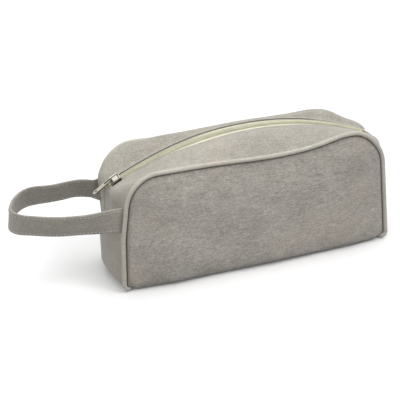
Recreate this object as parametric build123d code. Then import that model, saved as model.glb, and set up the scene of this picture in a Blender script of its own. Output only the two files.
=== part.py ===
"""A zipped toiletry bag with piped edges and a wrist strap.

The bag stands on its bottom panel. X runs along its length, with the strap on
the -X side, Y runs from the front to the back and Z is up. The origin is the
middle of the flat underside. All sizes are in millimetres.
"""
from build123d import *
import math
import os

# Overall bag, measured over the piping
bag_length = 260.0
bag_height = 112.0
seam_depth = 68.0          # between the two seams that carry the piping
top_corner_radius = 32.0
bottom_corner_radius = 8.0

# Cloth and padding
cloth = 1.6                # leatherette of the gusset and of the panels
lining_cloth = 0.4
foam = 2.0
panel_crown = 3.0          # how far a stuffed panel stands out in its middle
crown_slope = 16.0         # width of the slope round the crown
end_bulge = 3.0            # how far an end panel swells out
layer_gap = 0.15           # free space between layers that lie on each other
binding_width = 6.0
foam_margin = 10.0
end_lining_lift = 2.0      # how far the end linings stop above the corner

# Piping
piping_diameter = 4.6
piping_wall = 1.0
piping_cord_gap = 0.1

# Zip: its track is one arc about an axis along Y
zip_arc_radius = 280.0     # to the middle of the tape's upper face
zip_crown = 10.0           # height of the track's top above bag_height
zip_crown_x = 5.0
zip_left_margin = 1.83     # from the end of the bag to the end of the tape
zip_right_margin = 6.67
zip_opening = 13.0         # between the folded edges of the gusset
tape_width = 26.0
tape_thickness = 0.6
tape_end_fold = 7.85       # at each end the tape's outer part stops this much sooner
coil_width = 6.0
coil_height = 1.8
coil_gap = 0.8             # the slider's blade runs in it
stop_length = 3.0
zip_corner_radius = 12.0   # where the gusset turns down at the ends of the zip
cross_seam_height = 62.0   # seam between the zip gusset and the end panels

# Slider and its pull
slider_length = 10.0
slider_width = 9.4
slider_plate = 1.0
slider_clearance = 0.3
slider_blade = 0.4
slider_nose_bevel = 0.7    # on the top plate's end, where the pull rests
slider_rest_reach = 7.33   # from the left end of the tape to the slider's middle
bail_width = 1.6
bail_height = 3.5
bail_length = 8.4
bail_bar = 0.9
pull_length = 20.0
pull_width = 5.0
pull_thickness = 1.0
pull_slope = 8.0           # degrees below the track at rest
pull_arm_width = 1.0
pull_eye_length = 7.4
pull_bar_radius = 0.55
pull_play = 0.3            # between the pull's bar and the bail
pull_hole_diameter = 2.2
pull_hole_reach = 3.2      # from the pull's end to the middle of its hole

# Wrist strap: a flat band in a loop off the left end
strap_width = 25.0
strap_layer = 1.2
strap_core = 0.6
strap_middle_height = 69.5
strap_pivot_reach = 16.0   # from the end of the bag to where the loop swings
strap_clearance = 0.3
strap_swing_down = 30.0
strap_swing_up = 55.0
strap_seam_gap = 0.3       # between the strap's ends and the end panel
strap_front_radius = 150.0
strap_front_turn = 24.0
strap_tip_radius = 17.0
strap_tip_turn = 81.0
strap_back_radius = 40.0
strap_back_turn = 35.0
strap_shoulder_radius = 46.0
strap_shoulder_turn = 56.0

# Worked out from the sizes above
half_length = bag_length / 2
half_depth = seam_depth / 2
piping_radius = piping_diameter / 2
gusset_inset = piping_radius - cloth / 2 + 0.1
gusset_half = half_depth - piping_radius - 0.1
panel_inset = piping_diameter + layer_gap
arc_centre_x = zip_crown_x
arc_centre_z = bag_height + zip_crown - zip_arc_radius
arc_axis = Axis((arc_centre_x, 0, arc_centre_z), (0, 1, 0))
zip_left_angle = -math.degrees(math.asin((half_length + zip_crown_x - zip_left_margin) / zip_arc_radius))
zip_right_angle = math.degrees(math.asin((half_length - zip_crown_x - zip_right_margin) / zip_arc_radius))
tape_fold_angle = math.degrees(tape_end_fold / zip_arc_radius)
slider_rest_angle = zip_left_angle + math.degrees(slider_rest_reach / zip_arc_radius)
half_opening = zip_opening / 2
tape_half = tape_width / 2
corner_top = bottom_corner_radius  # height where the bottom panel ends


def corner_radius(radius, inset):
    """Radius of a corner after the outline has moved in."""
    return max(radius - inset, 1.0)


def outline(inset, y):
    """The bag's rounded outline, moved in by inset, as a wire in the plane y."""
    side = half_length - inset
    top = bag_height - inset
    low = inset
    r_top = corner_radius(top_corner_radius, inset)
    r_low = corner_radius(bottom_corner_radius, inset)
    s = math.sqrt(0.5)

    def p(x, z):
        return Vector(x, y, z)

    def corner(cx, cz, r, sx, sz, start_on_side):
        on_side = p(cx + sx * r, cz)
        on_level = p(cx, cz + sz * r)
        middle = p(cx + sx * r * s, cz + sz * r * s)
        ends = (on_side, on_level) if start_on_side else (on_level, on_side)
        return Edge.make_three_point_arc(ends[0], middle, ends[1])

    return Wire([
        Edge.make_line(p(-side, low + r_low), p(-side, top - r_top)),
        corner(-side + r_top, top - r_top, r_top, -1, 1, True),
        Edge.make_line(p(-side + r_top, top), p(side - r_top, top)),
        corner(side - r_top, top - r_top, r_top, 1, 1, False),
        Edge.make_line(p(side, top - r_top), p(side, low + r_low)),
        corner(side - r_low, low + r_low, r_low, 1, -1, True),
        Edge.make_line(p(side - r_low, low), p(-side + r_low, low)),
        corner(-side + r_low, low + r_low, r_low, -1, -1, False),
    ])


def plate(inset, y, thickness):
    """A flat plate with the bag's outline, from y towards +Y."""
    return Solid.extrude(Face(outline(inset, y)), Vector(0, thickness, 0))


def ring(outer_inset, inner_inset, y, thickness):
    """A flat ring that follows the outline."""
    return plate(outer_inset, y, thickness) - plate(inner_inset, y, thickness)


def block(x0, x1, y0, y1, z0, z1):
    """A box given by its limits."""
    return Pos((x0 + x1) / 2, (y0 + y1) / 2, (z0 + z1) / 2) * Box(x1 - x0, y1 - y0, z1 - z0)


def to_back(shape):
    """The same piece on the back of the bag."""
    return mirror(shape, about=Plane.XZ)


def arc_point(radius, angle, y=0.0):
    """A point on an arc about the zip's axis, angle in degrees from the top towards +X."""
    a = math.radians(angle)
    return Vector(arc_centre_x + radius * math.sin(a), y, arc_centre_z + radius * math.cos(a))


def arc_band(r0, r1, a0, a1, y0, y1):
    """A curved strip along the zip between two radii, two angles and two values of y."""
    am = (a0 + a1) / 2
    wire = Wire([
        Edge.make_three_point_arc(arc_point(r1, a0, y0), arc_point(r1, am, y0), arc_point(r1, a1, y0)),
        Edge.make_line(arc_point(r1, a1, y0), arc_point(r0, a1, y0)),
        Edge.make_three_point_arc(arc_point(r0, a1, y0), arc_point(r0, am, y0), arc_point(r0, a0, y0)),
        Edge.make_line(arc_point(r0, a0, y0), arc_point(r1, a0, y0)),
    ])
    return Solid.extrude(Face(wire), Vector(0, y1 - y0, 0))


# Panels, foam, lining and seam binding
def front_panel():
    """The outer cloth of the front with the crown that its stuffing gives it."""
    y_edge = -half_depth - cloth / 2
    flat = plate(panel_inset, y_edge, cloth)
    foot = outline(panel_inset + 1.0, y_edge)
    crest = outline(panel_inset + crown_slope, y_edge - panel_crown)
    crown = Solid.make_loft([foot, crest], ruled=True)
    return flat + crown


def front_foam():
    """The sheet of foam behind the front panel."""
    return plate(foam_margin, -half_depth + cloth / 2 + layer_gap, foam)


def front_binding():
    """The tape that closes the raw edges of the front seam inside the bag."""
    y = -half_depth + cloth / 2 + layer_gap
    outer = gusset_inset + cloth + layer_gap
    return ring(max(outer, panel_inset), foam_margin - layer_gap, y, cloth)


def front_lining():
    """The lining sheet that covers the foam."""
    y = -half_depth + cloth / 2 + foam + 2 * layer_gap
    return plate(panel_inset + cloth, y, lining_cloth)


# Piping
def piping_path(y):
    return outline(piping_radius, y)


def tube_along(path, section):
    """Sweeps a section made at the origin along a closed path."""
    start = Plane(origin=path @ 0, z_dir=path % 0)
    return sweep(start * section, path=path)


def front_piping():
    """The cloth tube that covers the piping cord."""
    section = Circle(piping_radius) - Circle(piping_radius - piping_wall)
    return tube_along(piping_path(-half_depth), section)


def front_piping_cord():
    """The cord inside the piping."""
    section = Circle(piping_radius - piping_wall - piping_cord_gap)
    return tube_along(piping_path(-half_depth), section)


# Gusset: bottom, ends and the two halves beside the zip
def bulge_at(y):
    """How far the end of the gusset stands out at a depth y."""
    return end_bulge * (1 - (y / gusset_half) ** 2)


def bottom_panel():
    """The bottom of the gusset, turned up a little at both ends."""
    shell = ring(gusset_inset, gusset_inset + cloth, -gusset_half, 2 * gusset_half)
    flat = shell & block(-bag_length, bag_length, -seam_depth, seam_depth, -1, corner_top)
    sole = block(-half_length + 2 * bottom_corner_radius, half_length - 2 * bottom_corner_radius,
                 -gusset_half, gusset_half, 0, gusset_inset + cloth / 2)
    return flat + sole


def end_panel(side, inset=gusset_inset, thickness=cloth, reach=gusset_half, low=corner_top, high=None):
    """An end of the gusset below the strap; side is -1 for the left end and 1 for the right."""
    high = cross_seam_height if high is None else high
    x = half_length - inset

    def bowed(offset, direction):
        edge = x - offset
        return Edge.make_three_point_arc(Vector(side * edge, -direction * reach, low),
                                         Vector(side * (edge + end_bulge), 0, low),
                                         Vector(side * edge, direction * reach, low))

    outer = bowed(0, 1)
    inner = bowed(thickness, -1)
    wire = Wire([outer, Edge.make_line(outer @ 1, inner @ 0), inner, Edge.make_line(inner @ 1, outer @ 0)])
    return Solid.extrude(Face(wire), Vector(0, 0, high - low))


def gusset_section(y, inset, thickness, arched):
    """A thin U across the bag at y: flat on top at the seam, arched like the zip beside it."""
    foot = cross_seam_height + layer_gap

    def corner_points(move):
        side = half_length - inset + bulge_at(y) - move
        if arched:
            radius = zip_arc_radius + layer_gap + cloth - move - (inset - gusset_inset)
            r = zip_corner_radius - move
            points = []
            for sx in (-1, 1):
                cx = sx * (side - r)
                cz = arc_centre_z + math.sqrt((radius - r) ** 2 - (cx - arc_centre_x) ** 2)
                ux, uz = (cx - arc_centre_x) / (radius - r), (cz - arc_centre_z) / (radius - r)
                on_top = (arc_centre_x + radius * ux, arc_centre_z + radius * uz)
                mx, mz = sx + ux, uz
                size = math.hypot(mx, mz)
                points.append(((sx * side, cz), (cx + r * mx / size, cz + r * mz / size), on_top))
            crest = (arc_centre_x, arc_centre_z + radius)
        else:
            top = bag_height - inset - move
            r = corner_radius(top_corner_radius, inset + move)
            h = r * math.sqrt(0.5)
            points = [((sx * side, top - r), (sx * (side - r + h), top - r + h), (sx * (side - r), top))
                      for sx in (-1, 1)]
            crest = (0.0, top)
        return points[0], points[1], crest

    def v(point):
        return Vector(point[0], y, point[1])

    def path(move, forward):
        left, right, crest = corner_points(move)
        feet = (left[0][0], foot), (right[0][0], foot)
        if abs(crest[1] - left[2][1]) < 1e-6:
            top_edge = Edge.make_line(v(left[2]), v(right[2]))
        else:
            top_edge = Edge.make_three_point_arc(v(left[2]), v(crest), v(right[2]))
        edges = [
            Edge.make_line(v(feet[0]), v(left[0])),
            Edge.make_three_point_arc(v(left[0]), v(left[1]), v(left[2])),
            top_edge,
            Edge.make_three_point_arc(v(right[2]), v(right[1]), v(right[0])),
            Edge.make_line(v(right[0]), v(feet[1])),
        ]
        return edges, (v(feet[0]), v(feet[1]))

    outer, outer_feet = path(0, True)
    inner, inner_feet = path(thickness, True)
    return Wire(outer + inner + [Edge.make_line(outer_feet[0], inner_feet[0]),
                                 Edge.make_line(outer_feet[1], inner_feet[1])])


def zip_gusset_front():
    """The half of the top and the ends in front of the zip."""
    seam_section = gusset_section(-gusset_half, gusset_inset, cloth, False)
    fold_section = gusset_section(-tape_half, gusset_inset, cloth, True)
    edge_section = gusset_section(-half_opening, gusset_inset, cloth, True)
    slope = Solid.make_loft([seam_section, fold_section], ruled=True)
    shelf = Solid.make_loft([fold_section, edge_section], ruled=True)
    return slope + shelf


def zip_end_tab(side):
    """The cloth tab that closes the gap between the gusset halves past an end of the zip."""
    half_tab = half_opening - layer_gap
    section = gusset_section(-half_opening, gusset_inset, cloth, True)
    strip = Solid.extrude(Face(section), Vector(0, half_opening + half_tab, 0))
    angle = zip_left_angle if side < 0 else zip_right_angle
    stop_end = arc_point(zip_arc_radius + coil_height, angle).X
    xs = sorted((stop_end + side * layer_gap, side * bag_length))
    return strip & block(xs[0], xs[1], -half_tab, half_tab, 0, 2 * bag_height)


# Zip
def zip_tape_front():
    """The front half of the zip's tape."""
    low = zip_arc_radius - tape_thickness
    wide = arc_band(low, zip_arc_radius, zip_left_angle + tape_fold_angle, zip_right_angle - tape_fold_angle,
                    -tape_half, -coil_gap / 2)
    narrow = arc_band(low, zip_arc_radius, zip_left_angle, zip_right_angle,
                      -half_opening + layer_gap, -coil_gap / 2)
    return wide + narrow


def coil_front():
    """The front half of the zip's coil as a plain rail."""
    return arc_band(zip_arc_radius, zip_arc_radius + coil_height,
                    zip_left_angle + stop_angle, zip_right_angle - stop_angle,
                    -coil_width / 2, -coil_gap / 2)


stop_angle = math.degrees(stop_length / zip_arc_radius)


def top_stop_front():
    """The small metal stop at the closed end of the front coil."""
    return arc_band(zip_arc_radius, zip_arc_radius + coil_height, zip_left_angle,
                    zip_left_angle + stop_angle, -coil_width / 2, -coil_gap / 2)


def bottom_stop():
    """The metal staple that ties both coils at the open end."""
    return arc_band(zip_arc_radius, zip_arc_radius + coil_height, zip_right_angle - stop_angle,
                    zip_right_angle, -coil_width / 2, coil_width / 2)


def to_slider(shape):
    """Moves a piece modelled at the top of the arc to where the slider rests."""
    return shape.rotate(arc_axis, slider_rest_angle)


def slider_base():
    """Height above the arc's radius of the slider's upper face."""
    return coil_height + slider_clearance + slider_plate


def slider_body():
    """The slider: two plates about the coil, joined by a blade, with turned-in flanges."""
    half_angle = math.degrees(slider_length / 2 / zip_arc_radius)
    coil_top = coil_height + slider_clearance
    tape_low = -tape_thickness - slider_clearance
    flange_in = coil_width / 2 + slider_clearance
    flange_out = slider_width / 2

    def band(h0, h1, y0, y1):
        return arc_band(zip_arc_radius + h0, zip_arc_radius + h1, -half_angle, half_angle, y0, y1)

    shape = band(coil_top, coil_top + slider_plate, -flange_out, flange_out)
    shape += band(tape_low - slider_plate, tape_low, -flange_out, flange_out)
    low, high = tape_low - slider_plate / 2, coil_top + slider_plate / 2
    shape += band(low, high, -slider_blade / 2, slider_blade / 2)
    for y0, y1 in ((-flange_out, -flange_in), (flange_in, flange_out)):
        shape += band(slider_clearance, coil_top + slider_plate / 2, y0, y1)
    top_z = arc_centre_z + zip_arc_radius
    waist = Pos(arc_centre_x, 0, top_z) * extrude(slider_plan(), slider_width, both=True)
    nose = Pos(arc_centre_x - slider_length / 2, 0, top_z + slider_base()) * Rot(0, 45, 0)
    bevel = nose * Box(slider_nose_bevel * math.sqrt(2), 2 * slider_width, slider_nose_bevel * math.sqrt(2))
    return to_slider((shape & waist) - bevel)


def slider_plan():
    """The slider from above: broad at the shoulders and narrow at the tail."""
    half = slider_length / 2
    wide = slider_width / 2
    tail = coil_width / 2 + slider_clearance + 0.5
    pts = [(-half, -wide + 1.2), (-half + 1.2, -wide), (-0.5, -wide), (half, -tail),
           (half, tail), (-0.5, wide), (-half + 1.2, wide), (-half, wide - 1.2)]
    return make_face(Polyline(*pts, close=True))


def slider_bail():
    """The bridge on the slider that holds the pull."""
    low = arc_centre_z + zip_arc_radius + slider_base()
    half = bail_length / 2
    outer = block(arc_centre_x - half, arc_centre_x + half, -bail_width / 2, bail_width / 2,
                  low, low + bail_height)
    window = block(arc_centre_x - half + bail_bar, arc_centre_x + half - bail_bar, -bail_width, bail_width,
                   low - 1, low + bail_height - bail_bar)
    return to_slider(outer - window)


def pull_pivot_height():
    """Height of the pull's cross bar above the arc's radius."""
    return slider_base() + bail_height - bail_bar - pull_bar_radius - pull_play


def pull_pivot_x():
    """Place of the pull's cross bar along the slider."""
    return -bail_length / 2 + bail_bar + pull_bar_radius + pull_play


def pull():
    """The pull: a tab with a long eye whose cross bar sits in the bail."""
    x = arc_centre_x + pull_pivot_x()
    z = arc_centre_z + zip_arc_radius + pull_pivot_height()
    half = pull_width / 2
    tab = block(-pull_length, 0, -half, half, -pull_thickness / 2, pull_thickness / 2)
    eye = block(-pull_eye_length, pull_length, -half + pull_arm_width, half - pull_arm_width,
                -pull_thickness, pull_thickness)
    hole = Pos(-pull_length + pull_hole_reach, 0, 0) * Cylinder(pull_hole_diameter / 2, 4 * pull_thickness)
    bar = Rot(90, 0, 0) * Cylinder(pull_bar_radius, pull_width)
    shape = tab - eye - hole + bar
    round_end = Pos(-pull_length + half, 0, 0) * Cylinder(half, 2 * pull_thickness)
    square_end = block(-pull_length, -pull_length + half, -half, half, -pull_thickness, pull_thickness)
    shape = shape - (square_end - round_end)
    shape = Pos(x, 0, z) * (Rot(0, -pull_slope, 0) * shape)
    return to_slider(shape)


def pull_axis_point():
    """Where the pull's cross bar lies at rest."""
    x = pull_pivot_x()
    a = math.radians(slider_rest_angle)
    r = zip_arc_radius + pull_pivot_height()
    return (arc_centre_x + r * math.sin(a) + x * math.cos(a),
            arc_centre_z + r * math.cos(a) - x * math.sin(a))


# Wrist strap
strap_thickness = 2 * strap_layer + strap_core
strap_seat_y = gusset_half - strap_thickness / 2
strap_start_x = -(half_length - gusset_inset) - end_bulge * 0.2 - strap_seam_gap
strap_pivot_x = -half_length - strap_pivot_reach
strap_sweeps = (
    (strap_front_radius, strap_front_turn),
    (strap_tip_radius, strap_tip_turn),
    (strap_back_radius, strap_back_turn),
    (strap_shoulder_radius, strap_shoulder_turn),
)


def strap_line(offset):
    """The loop from the front seam round to the back seam, moved outwards by offset."""
    x, y, heading = strap_start_x, -strap_seat_y - offset, 180.0
    edges = [Edge.make_line(Vector(x, y, 0), Vector(strap_pivot_x, y, 0))]
    x = strap_pivot_x

    def turn(radius, angle, x, y, heading, clockwise=1):
        r = radius + clockwise * offset
        pts = []
        for part in (0.5, 1.0):
            h0, h1 = math.radians(heading), math.radians(heading - clockwise * angle * part)
            pts.append(Vector(x + clockwise * r * (math.sin(h0) - math.sin(h1)),
                              y + clockwise * r * (math.cos(h1) - math.cos(h0)), 0))
        edges.append(Edge.make_three_point_arc(Vector(x, y, 0), pts[0], pts[1]))
        return pts[1].X, pts[1].Y, heading - clockwise * angle

    for radius, angle in strap_sweeps:
        x, y, heading = turn(radius, angle, x, y, heading)
    drop = y - (strap_seat_y + offset)
    recover = drop / (1 - math.cos(math.radians(heading))) + offset
    x, y, heading = turn(recover, -heading, x, y, heading, clockwise=-1)
    edges.append(Edge.make_line(Vector(x, y, 0), Vector(strap_start_x, y, 0)))
    return edges


def strap_band(inner, outer):
    """A layer of the strap between two offsets, at its full width."""
    a, b = strap_line(inner), strap_line(outer)
    ends = [Edge.make_line(a[0] @ 0, b[0] @ 0), Edge.make_line(a[-1] @ 1, b[-1] @ 1)]
    face = Face(Wire(a + b + ends))
    band = Solid.extrude(face, Vector(0, 0, strap_width))
    return Pos(0, 0, strap_middle_height - strap_width / 2) * band


def strap_disc(radius):
    """A drum about the line on which the loop swings."""
    drum = Rot(90, 0, 0) * Cylinder(radius, 2 * bag_length)
    return Pos(strap_pivot_x, 0, strap_middle_height) * drum


def strap_loop(inner, outer):
    """The part of a strap layer that swings."""
    reach = block(-2 * bag_length, strap_pivot_x, -bag_length, bag_length, 0, bag_height)
    return strap_band(inner, outer) & (reach + strap_disc(strap_width / 2))


def swung(angle):
    """The space that the loop takes when it has swung by angle."""
    half = strap_width / 2 + strap_clearance
    beam = block(strap_pivot_x - bag_length, strap_pivot_x, -bag_length, bag_length,
                 strap_middle_height - half, strap_middle_height + half)
    pin = Axis((strap_pivot_x, 0, strap_middle_height), (0, 1, 0))
    return beam.rotate(pin, angle)


def strap_anchor(front):
    """A fixed end of the strap, sewn into a seam."""
    y = -strap_seat_y if front else strap_seat_y
    half = strap_thickness / 2
    stub = block(strap_pivot_x, strap_start_x, y - half, y + half,
                 strap_middle_height - strap_width / 2, strap_middle_height + strap_width / 2)
    stub = stub - strap_disc(strap_width / 2 + strap_clearance)
    steps = 8
    for k in range(steps + 1):
        stub = stub - swung(-strap_swing_down + k * (strap_swing_up + strap_swing_down) / steps)
    solids = sorted(stub.solids(), key=lambda s: s.volume)
    return solids[-1]


def make_pieces():
    """Every piece by name."""
    half = strap_thickness / 2
    pieces = {
        "front_panel": front_panel(),
        "front_foam": front_foam(),
        "front_seam_binding": front_binding(),
        "front_lining": front_lining(),
        "front_piping": front_piping(),
        "front_piping_cord": front_piping_cord(),
        "zip_gusset_front": zip_gusset_front(),
        "zip_tape_front": zip_tape_front(),
        "coil_front": coil_front(),
        "top_stop_front": top_stop_front(),
    }
    pieces.update({name.replace("front", "back"): to_back(shape) for name, shape in list(pieces.items())})
    lining_inset = gusset_inset + cloth + layer_gap
    lining_reach = half_depth - cloth / 2 - foam - lining_cloth - 4 * layer_gap
    lining_low = corner_top + end_lining_lift
    lining_half = half_length - 2 * bottom_corner_radius
    pieces.update({
        "bottom_panel": bottom_panel(),
        "left_end_panel": end_panel(-1, low=corner_top + layer_gap),
        "right_end_panel": end_panel(1, low=corner_top + layer_gap),
        "left_end_lining": end_panel(-1, lining_inset, lining_cloth, lining_reach, lining_low),
        "right_end_lining": end_panel(1, lining_inset, lining_cloth, lining_reach, lining_low),
        "bottom_lining": block(-lining_half, lining_half,
                               -lining_reach, lining_reach,
                               gusset_inset + cloth + layer_gap,
                               gusset_inset + cloth + layer_gap + lining_cloth),
        "left_zip_tab": zip_end_tab(-1),
        "right_zip_tab": zip_end_tab(1),
        "bottom_stop": bottom_stop(),
        "slider_body": slider_body(),
        "slider_bail": slider_bail(),
        "pull": pull(),
        "strap_outer": strap_loop(strap_core / 2, half),
        "strap_core": strap_loop(-strap_core / 2, strap_core / 2),
        "strap_inner": strap_loop(-half, -strap_core / 2),
        "strap_front_anchor": strap_anchor(True),
        "strap_back_anchor": strap_anchor(False),
    })
    return pieces


if __name__ == "__main__":
    os.makedirs("parts", exist_ok=True)
    for name, shape in make_pieces().items():
        export_step(shape, f"parts/{name}.step")
    print("arc centre", arc_centre_x, arc_centre_z, "pull pivot", pull_axis_point())
    print("strap pivot", strap_pivot_x, strap_middle_height)
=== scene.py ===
# %% [markdown]
# # A leatherette toiletry bag
# The bag stands on a pale floor. Its zip slider, the pull and the wrist strap
# move, so the new pieces of the bag itself are tied to the bag's body. Sizes are
# written in millimetres and turned into metres where a mesh is placed.

# %% Load the frame
import bpy
import math
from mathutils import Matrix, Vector, noise


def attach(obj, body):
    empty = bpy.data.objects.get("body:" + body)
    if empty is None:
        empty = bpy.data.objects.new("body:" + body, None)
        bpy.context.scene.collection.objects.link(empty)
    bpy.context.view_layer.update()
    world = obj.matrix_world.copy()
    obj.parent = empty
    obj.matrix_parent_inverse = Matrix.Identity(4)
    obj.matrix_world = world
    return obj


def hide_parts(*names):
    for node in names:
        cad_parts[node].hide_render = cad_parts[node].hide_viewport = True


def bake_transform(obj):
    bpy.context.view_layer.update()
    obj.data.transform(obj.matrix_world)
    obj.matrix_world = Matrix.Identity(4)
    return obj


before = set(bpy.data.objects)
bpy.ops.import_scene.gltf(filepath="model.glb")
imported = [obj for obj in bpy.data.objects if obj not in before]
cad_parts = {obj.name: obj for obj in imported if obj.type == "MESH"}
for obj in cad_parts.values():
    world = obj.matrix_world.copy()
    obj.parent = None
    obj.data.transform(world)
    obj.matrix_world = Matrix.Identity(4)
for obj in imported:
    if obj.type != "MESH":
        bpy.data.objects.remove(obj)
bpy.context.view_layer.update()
mm = 0.001


# %% [markdown]
# ## Helpers for operators
# Operators act on whatever is selected. These helpers clear the selection
# first, so that no piece is changed by accident.

# %% Selection and modifiers
def alone(obj):
    """Selects one object and makes it active."""
    if bpy.context.object and bpy.context.object.mode != "OBJECT":
        bpy.ops.object.mode_set(mode="OBJECT")
    bpy.ops.object.select_all(action="DESELECT")
    obj.select_set(True)
    bpy.context.view_layer.objects.active = obj
    return obj


def added(name):
    """Names the object that an operator has just added."""
    obj = bpy.context.object
    obj.name = name
    obj.data.name = name
    return obj


def apply_modifier(obj, kind, **settings):
    """Adds a modifier and applies it at once."""
    alone(obj)
    modifier = obj.modifiers.new(kind.title(), kind)
    for key, value in settings.items():
        setattr(modifier, key, value)
    bpy.ops.object.modifier_apply(modifier=modifier.name)
    return obj


def recalculate(obj):
    """Turns the faces of a closed piece outwards."""
    alone(obj)
    bpy.ops.object.mode_set(mode="EDIT")
    bpy.ops.mesh.select_all(action="SELECT")
    bpy.ops.mesh.normals_make_consistent(inside=False)
    bpy.ops.object.mode_set(mode="OBJECT")
    return obj


def smooth_shade(obj, angle=40):
    """Shades a piece smooth, with edges sharper than the angle kept."""
    alone(obj)
    bpy.ops.object.shade_smooth_by_angle(angle=math.radians(angle))
    return obj


def rebuilt(obj, points, faces):
    """Gives an object a new closed mesh of its own, facing outwards and shaded smooth."""
    mesh = bpy.data.meshes.new(obj.name)
    mesh.from_pydata(points, [], faces)
    obj.data = mesh
    recalculate(obj)
    smooth_shade(obj, 60)
    return obj


# %% [markdown]
# ## Soft curves for the shape
# A filled bag has no straight lines. These small functions make soft steps
# and soft humps, which the pieces use for their sag and bulge. Formulas are
# chosen over sculpting by hand, because each one can be read and changed.

# %% Soft steps and bumps
def step(t):
    """Goes softly from 0 to 1 as t does."""
    t = min(max(t, 0.0), 1.0)
    return t * t * (3 - 2 * t)


def bump(x, middle, width):
    """A soft hump of height 1."""
    return math.exp(-((x - middle) / width) ** 2)


def humps(x, start, shapes):
    """Adds humps to a start value; each has a height, a middle and a width."""
    for height, middle, width in shapes:
        start += height * bump(x, middle, width)
    return start


def blend_value(a, b, t):
    """Goes evenly from a to b as t goes from 0 to 1."""
    return a + (b - a) * t


print("a soft step half way:", step(0.5))


# %% [markdown]
# ## The outline of the seams
# Both panels have the same rounded outline, and the piping runs along it. It
# is walked in named runs, so that the zip's side of the gusset can be walked
# in the same steps and joined to it row by row.

# %% The outline
half_length = 130.0
top = 112.0
seam_y = 34.0
piping_radius = 2.3
top_radius = 32.0
low_radius = 8.0
cross_seam = 62.0


def arc(cx, cz, r, a0, a1, count):
    """Points on an arc, angles in degrees from +X towards +Z, without the last point."""
    points = []
    for k in range(count):
        a = math.radians(a0 + (a1 - a0) * k / count)
        points.append((cx + r * math.cos(a), cz + r * math.sin(a)))
    return points


def run(p, q, count):
    """Points on a straight line, without the last point."""
    return [(p[0] + (q[0] - p[0]) * k / count, p[1] + (q[1] - p[1]) * k / count) for k in range(count)]


def upper_outline(inset):
    """From the left cross seam over the top to the right one."""
    side, high, r = half_length - inset, top - inset, top_radius - inset
    points = run((-side, cross_seam), (-side, high - r), 8)
    points += arc(-side + r, high - r, r, 180, 90, 16)
    points += run((-side + r, high), (side - r, high), 64)
    points += arc(side - r, high - r, r, 90, 0, 16)
    points += run((side, high - r), (side, cross_seam), 8)
    return points + [(side, cross_seam)]


def side_outline(inset, sign):
    """From the cross seam down one end to where the bottom starts."""
    side, r = half_length - inset, max(low_radius - inset, 1.5)
    points = run((sign * side, cross_seam), (sign * side, inset + r), 26)
    if sign < 0:
        points += arc(-side + r, inset + r, r, 180, 225, 5)
    else:
        points += arc(side - r, inset + r, r, 0, -45, 5)
    a = math.sqrt(0.5) * r
    return points + [(sign * (side - r + a), inset + r - a)]


def bottom_outline(inset):
    """From the left end of the bottom to its right end."""
    side, r = half_length - inset, max(low_radius - inset, 1.5)
    points = arc(-side + r, inset + r, r, 225, 270, 5)
    points += run((-side + r, inset), (side - r, inset), 60)
    points += arc(side - r, inset + r, r, 270, 315, 5)
    a = math.sqrt(0.5) * r
    return points + [(side - r + a, inset + r - a)]


def whole_outline(inset):
    """Once round, from the left cross seam over the top, for closed pieces."""
    right = side_outline(inset, 1)
    left = side_outline(inset, -1)
    return upper_outline(inset) + right[1:] + bottom_outline(inset)[::-1][1:-1] + left[::-1][:-1]


print("outline points:", len(whole_outline(piping_radius)))


# %% [markdown]
# ## How the filled bag settles
# The photographed bag leans out a little at its right foot, its top seams dip
# between two humps, and its lower seams tuck in under the belly. One function
# moves every soft piece in the same way, so that the pieces stay joined. It
# leaves the middle strip alone, because the zip keeps its true arc there.
# A lattice could do the same, but a function can be used point by point.

# %% Settling
lean_left = 3.0
foot_left = -0.6
foot_right = 4.9
lean_right = 0.11
tuck_depth, tuck_height = 9.0, 20
back_drop = 4.5
back_foot_left, back_foot_height = 5.0, 70
lean_reach = 128.0                      # the lean is full this far from the middle
still_strip, strip_fade = 10, 22        # half the strip of the zip, and where it ends
front_dips = ((-3.2, 14, 48), (5.0, 92, 27))
back_dips = ((-3.0, -2, 36), (1.0, 72, 30), (5.0, -94, 38))
sag_start, sag_fade = 60, 50            # only the upper part of the bag sags
knee, knee_round, knee_rest = 9, 3, 0.24  # the cloth lies flat under the seam up to the knee
seam_fold, seam_fold_height = 1.7, 7
low_start, low_fade = 10, 70


def settle(x, y, z):
    """Moves a point of the ideal bag to where the filled bag has it."""
    f = x / lean_reach
    share = step((abs(y) - still_strip) / strip_fade)
    left = lean_left if y > 0 else blend_value(foot_left, lean_left, step((z - 45) / 45))
    shift = (1 - f) / 2 * left + (1 + f) / 2 * (foot_right - lean_right * z)
    shift *= step(abs(f) * 1.4 - 0.2)
    sag = humps(x, 0.0, front_dips) if y < 0 else humps(x, -back_drop, back_dips)
    rise = sag * step((z - sag_start) / sag_fade)
    if y > 0 and x < 0:
        shift += back_foot_left * step(1 - z / back_foot_height)
    middle = 1 - step((abs(f) - 0.90) / 0.09)
    tuck = tuck_depth * step(1 - z / tuck_height) * middle
    above = max(z - piping_radius, 0.0)
    past = above - knee
    lag = above + knee_rest - (past + math.hypot(past, knee_round)) / 2
    lag += seam_fold * step(above / seam_fold_height)
    low = middle * lag * step(1 - (above - low_start) / low_fade)
    side = 1 if y > 0 else -1
    return Vector((x + share * shift, y - side * share * tuck, z + share * (rise - low)))


print("front seam's middle sags to:", [round(v, 1) for v in settle(0, -seam_y, top)])


# %% [markdown]
# ## A skin between two edges
# Cloth is sewn between two seams. A grid is the natural start: its rows are
# laid from one seam to the other, and each vertex is then put in its place,
# as a sculptor would pull it. Solidify gives the cloth its thickness.

# %% Building a skin
cloth = 1.6


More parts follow.
